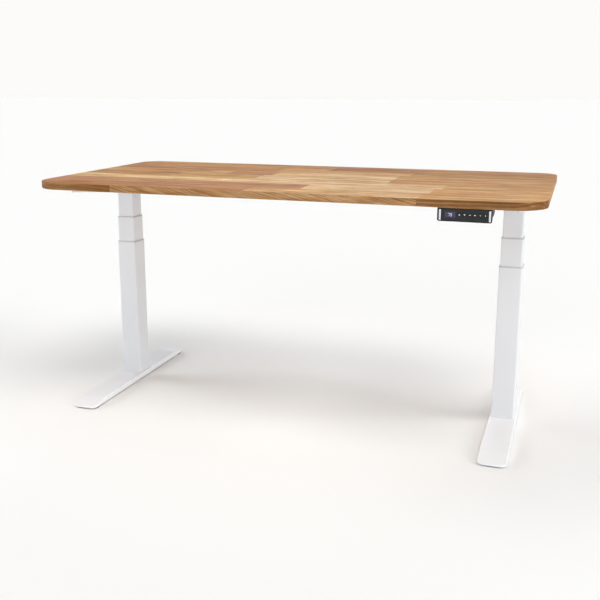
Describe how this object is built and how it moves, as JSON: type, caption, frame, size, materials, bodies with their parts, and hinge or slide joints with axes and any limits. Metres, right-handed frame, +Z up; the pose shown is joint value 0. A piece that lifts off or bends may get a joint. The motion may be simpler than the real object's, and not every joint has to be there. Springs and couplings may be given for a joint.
{
  "type": "height adjustable standing desk",
  "caption": "Electric sit-stand desk: solid oak top with rounded corners on white three-stage telescopic columns, flat sloping feet and an under-edge handset.",
  "frame": {"origin": "on the floor under the middle of the desktop", "axes": "+Z up, +X to the sitter's right along the desktop's long side, +Y from the front edge to the back edge"},
  "size_m": [1.6, 0.8, 0.788],
  "materials": {
    "oak": "oiled solid oak staves, satin",
    "white_powder_coat": "fine matt powder coat",
    "grey_guide_plastic": "moulded",
    "black_plastic": "moulded, fine texture",
    "bright_steel": "turned and lightly oiled",
    "nut_plastic": "acetal",
    "cast_aluminium": "die cast",
    "black_painted_metal": "satin black",
    "charcoal_gloss": "gloss overlay",
    "cable_sheath": "matt sheath"
  },
  "bodies": {
    "left_base": {"left_foot": "white_powder_coat", "left_outer_tube": "white_powder_coat", "left_lower_collar": "grey_guide_plastic", "left_base_standpipe": "bright_steel", "left_lower_nut": "nut_plastic"},
    "left_middle": {"left_middle_tube": "white_powder_coat", "left_upper_collar": "grey_guide_plastic", "left_middle_standpipe": "bright_steel", "left_upper_nut": "nut_plastic"},
    "top": {"desktop": "oak", "left_inner_tube": "white_powder_coat", "left_head_bracket": "white_powder_coat", "left_gearbox_housing": "cast_aluminium", "left_motor": "black_painted_metal", "left_side_bracket": "white_powder_coat", "right_inner_tube": "white_powder_coat", "right_head_bracket": "white_powder_coat", "right_gearbox_housing": "cast_aluminium", "right_motor": "black_painted_metal", "right_side_bracket": "white_powder_coat", "crossbar_front_left": "white_powder_coat", "crossbar_front_right": "white_powder_coat", "crossbar_back_left": "white_powder_coat", "crossbar_back_right": "white_powder_coat", "control_box_case": "black_plastic", "control_box_cover": "black_plastic", "handset_body": "black_plastic", "handset_face": "charcoal_gloss", "motor_cable_left": "cable_sheath", "motor_cable_right": "cable_sheath", "handset_cable": "cable_sheath"},
    "right_middle": {"right_middle_tube": "white_powder_coat", "right_upper_collar": "grey_guide_plastic", "right_middle_standpipe": "bright_steel", "right_upper_nut": "nut_plastic"},
    "right_base": {"right_foot": "white_powder_coat", "right_outer_tube": "white_powder_coat", "right_lower_collar": "grey_guide_plastic", "right_base_standpipe": "bright_steel", "right_lower_nut": "nut_plastic"},
    "left_lower_screw": {"left_lower_screw": "bright_steel"},
    "left_upper_screw": {"left_upper_screw": "bright_steel"},
    "left_worm": {"left_worm_shaft": "bright_steel"},
    "right_lower_screw": {"right_lower_screw": "bright_steel"},
    "right_upper_screw": {"right_upper_screw": "bright_steel"},
    "right_worm": {"right_worm_shaft": "bright_steel"},
    "left_glide_1": {"left_glide_1": "black_plastic"},
    "left_glide_2": {"left_glide_2": "black_plastic"},
    "left_glide_3": {"left_glide_3": "black_plastic"},
    "left_glide_4": {"left_glide_4": "black_plastic"},
    "right_glide_1": {"right_glide_1": "black_plastic"},
    "right_glide_2": {"right_glide_2": "black_plastic"},
    "right_glide_3": {"right_glide_3": "black_plastic"},
    "right_glide_4": {"right_glide_4": "black_plastic"},
    "key_1": {"key_1": "charcoal_gloss"},
    "key_2": {"key_2": "charcoal_gloss"},
    "key_3": {"key_3": "charcoal_gloss"},
    "key_4": {"key_4": "charcoal_gloss"},
    "key_5": {"key_5": "charcoal_gloss"},
    "key_6": {"key_6": "charcoal_gloss"}
  },
  "joints": [
    {"name": "left_lower_slide", "type": "slide", "parent": "left_base", "child": "left_middle", "axis": [0, 0, 1], "range_m": [-0.0865, 0.2385]},
    {"name": "left_upper_slide", "type": "slide", "parent": "left_middle", "child": "top", "axis": [0, 0, 1], "range_m": [-0.0865, 0.2385]},
    {"name": "right_upper_slide", "type": "slide", "parent": "top", "child": "right_middle", "axis": [0, 0, -1], "range_m": [-0.0865, 0.2385]},
    {"name": "right_lower_slide", "type": "slide", "parent": "right_middle", "child": "right_base", "axis": [0, 0, -1], "range_m": [-0.0865, 0.2385]},
    {"name": "left_lower_screw_turn", "type": "hinge", "parent": "left_middle", "child": "left_lower_screw", "pos_m": [-0.6875, 0.033, 0.4], "axis": [0, 0, 1], "continuous": true},
    {"name": "left_upper_screw_turn", "type": "hinge", "parent": "top", "child": "left_upper_screw", "pos_m": [-0.6875, 0.033, 0.4], "axis": [0, 0, 1], "continuous": true},
    {"name": "left_worm_turn", "type": "hinge", "parent": "top", "child": "left_worm", "pos_m": [-0.6875, 0.06, 0.736], "axis": [1, 0, 0], "continuous": true},
    {"name": "right_lower_screw_turn", "type": "hinge", "parent": "right_middle", "child": "right_lower_screw", "pos_m": [0.6875, 0.033, 0.4], "axis": [0, 0, 1], "continuous": true},
    {"name": "right_upper_screw_turn", "type": "hinge", "parent": "top", "child": "right_upper_screw", "pos_m": [0.6875, 0.033, 0.4], "axis": [0, 0, 1], "continuous": true},
    {"name": "right_worm_turn", "type": "hinge", "parent": "top", "child": "right_worm", "pos_m": [0.6875, 0.06, 0.736], "axis": [1, 0, 0], "continuous": true},
    {"name": "left_glide_1_screw", "type": "slide", "parent": "left_base", "child": "left_glide_1", "axis": [0, 0, -1], "range_m": [0, 0.005]},
    {"name": "left_glide_2_screw", "type": "slide", "parent": "left_base", "child": "left_glide_2", "axis": [0, 0, -1], "range_m": [0, 0.005]},
    {"name": "left_glide_3_screw", "type": "slide", "parent": "left_base", "child": "left_glide_3", "axis": [0, 0, -1], "range_m": [0, 0.005]},
    {"name": "left_glide_4_screw", "type": "slide", "parent": "left_base", "child": "left_glide_4", "axis": [0, 0, -1], "range_m": [0, 0.005]},
    {"name": "right_glide_1_screw", "type": "slide", "parent": "right_base", "child": "right_glide_1", "axis": [0, 0, -1], "range_m": [0, 0.005]},
    {"name": "right_glide_2_screw", "type": "slide", "parent": "right_base", "child": "right_glide_2", "axis": [0, 0, -1], "range_m": [0, 0.005]},
    {"name": "right_glide_3_screw", "type": "slide", "parent": "right_base", "child": "right_glide_3", "axis": [0, 0, -1], "range_m": [0, 0.005]},
    {"name": "right_glide_4_screw", "type": "slide", "parent": "right_base", "child": "right_glide_4", "axis": [0, 0, -1], "range_m": [0, 0.005]},
    {"name": "key_1_press", "type": "slide", "parent": "top", "child": "key_1", "axis": [0, 1, 0], "range_m": [0, 0.0005], "stiffness_N_per_m": 2000},
    {"name": "key_2_press", "type": "slide", "parent": "top", "child": "key_2", "axis": [0, 1, 0], "range_m": [0, 0.0005], "stiffness_N_per_m": 2000},
    {"name": "key_3_press", "type": "slide", "parent": "top", "child": "key_3", "axis": [0, 1, 0], "range_m": [0, 0.0005], "stiffness_N_per_m": 2000},
    {"name": "key_4_press", "type": "slide", "parent": "top", "child": "key_4", "axis": [0, 1, 0], "range_m": [0, 0.0005], "stiffness_N_per_m": 2000},
    {"name": "key_5_press", "type": "slide", "parent": "top", "child": "key_5", "axis": [0, 1, 0], "range_m": [0, 0.0005], "stiffness_N_per_m": 2000},
    {"name": "key_6_press", "type": "slide", "parent": "top", "child": "key_6", "axis": [0, 1, 0], "range_m": [0, 0.0005], "stiffness_N_per_m": 2000}
  ],
  "couplings": [
    {"joint": "left_upper_slide", "follows": "left_lower_slide", "ratio": 1},
    {"joint": "right_upper_slide", "follows": "left_lower_slide", "ratio": 1},
    {"joint": "right_lower_slide", "follows": "left_lower_slide", "ratio": 1},
    {"joint": "left_lower_screw_turn", "follows": "left_lower_slide", "rad_per_m": 628.32},
    {"joint": "left_upper_screw_turn", "follows": "left_lower_slide", "rad_per_m": 628.32},
    {"joint": "left_worm_turn", "follows": "left_lower_slide", "rad_per_m": 10053},
    {"joint": "right_lower_screw_turn", "follows": "left_lower_slide", "rad_per_m": -628.32},
    {"joint": "right_upper_screw_turn", "follows": "left_lower_slide", "rad_per_m": -628.32},
    {"joint": "right_worm_turn", "follows": "left_lower_slide", "rad_per_m": 10053}
  ]
}
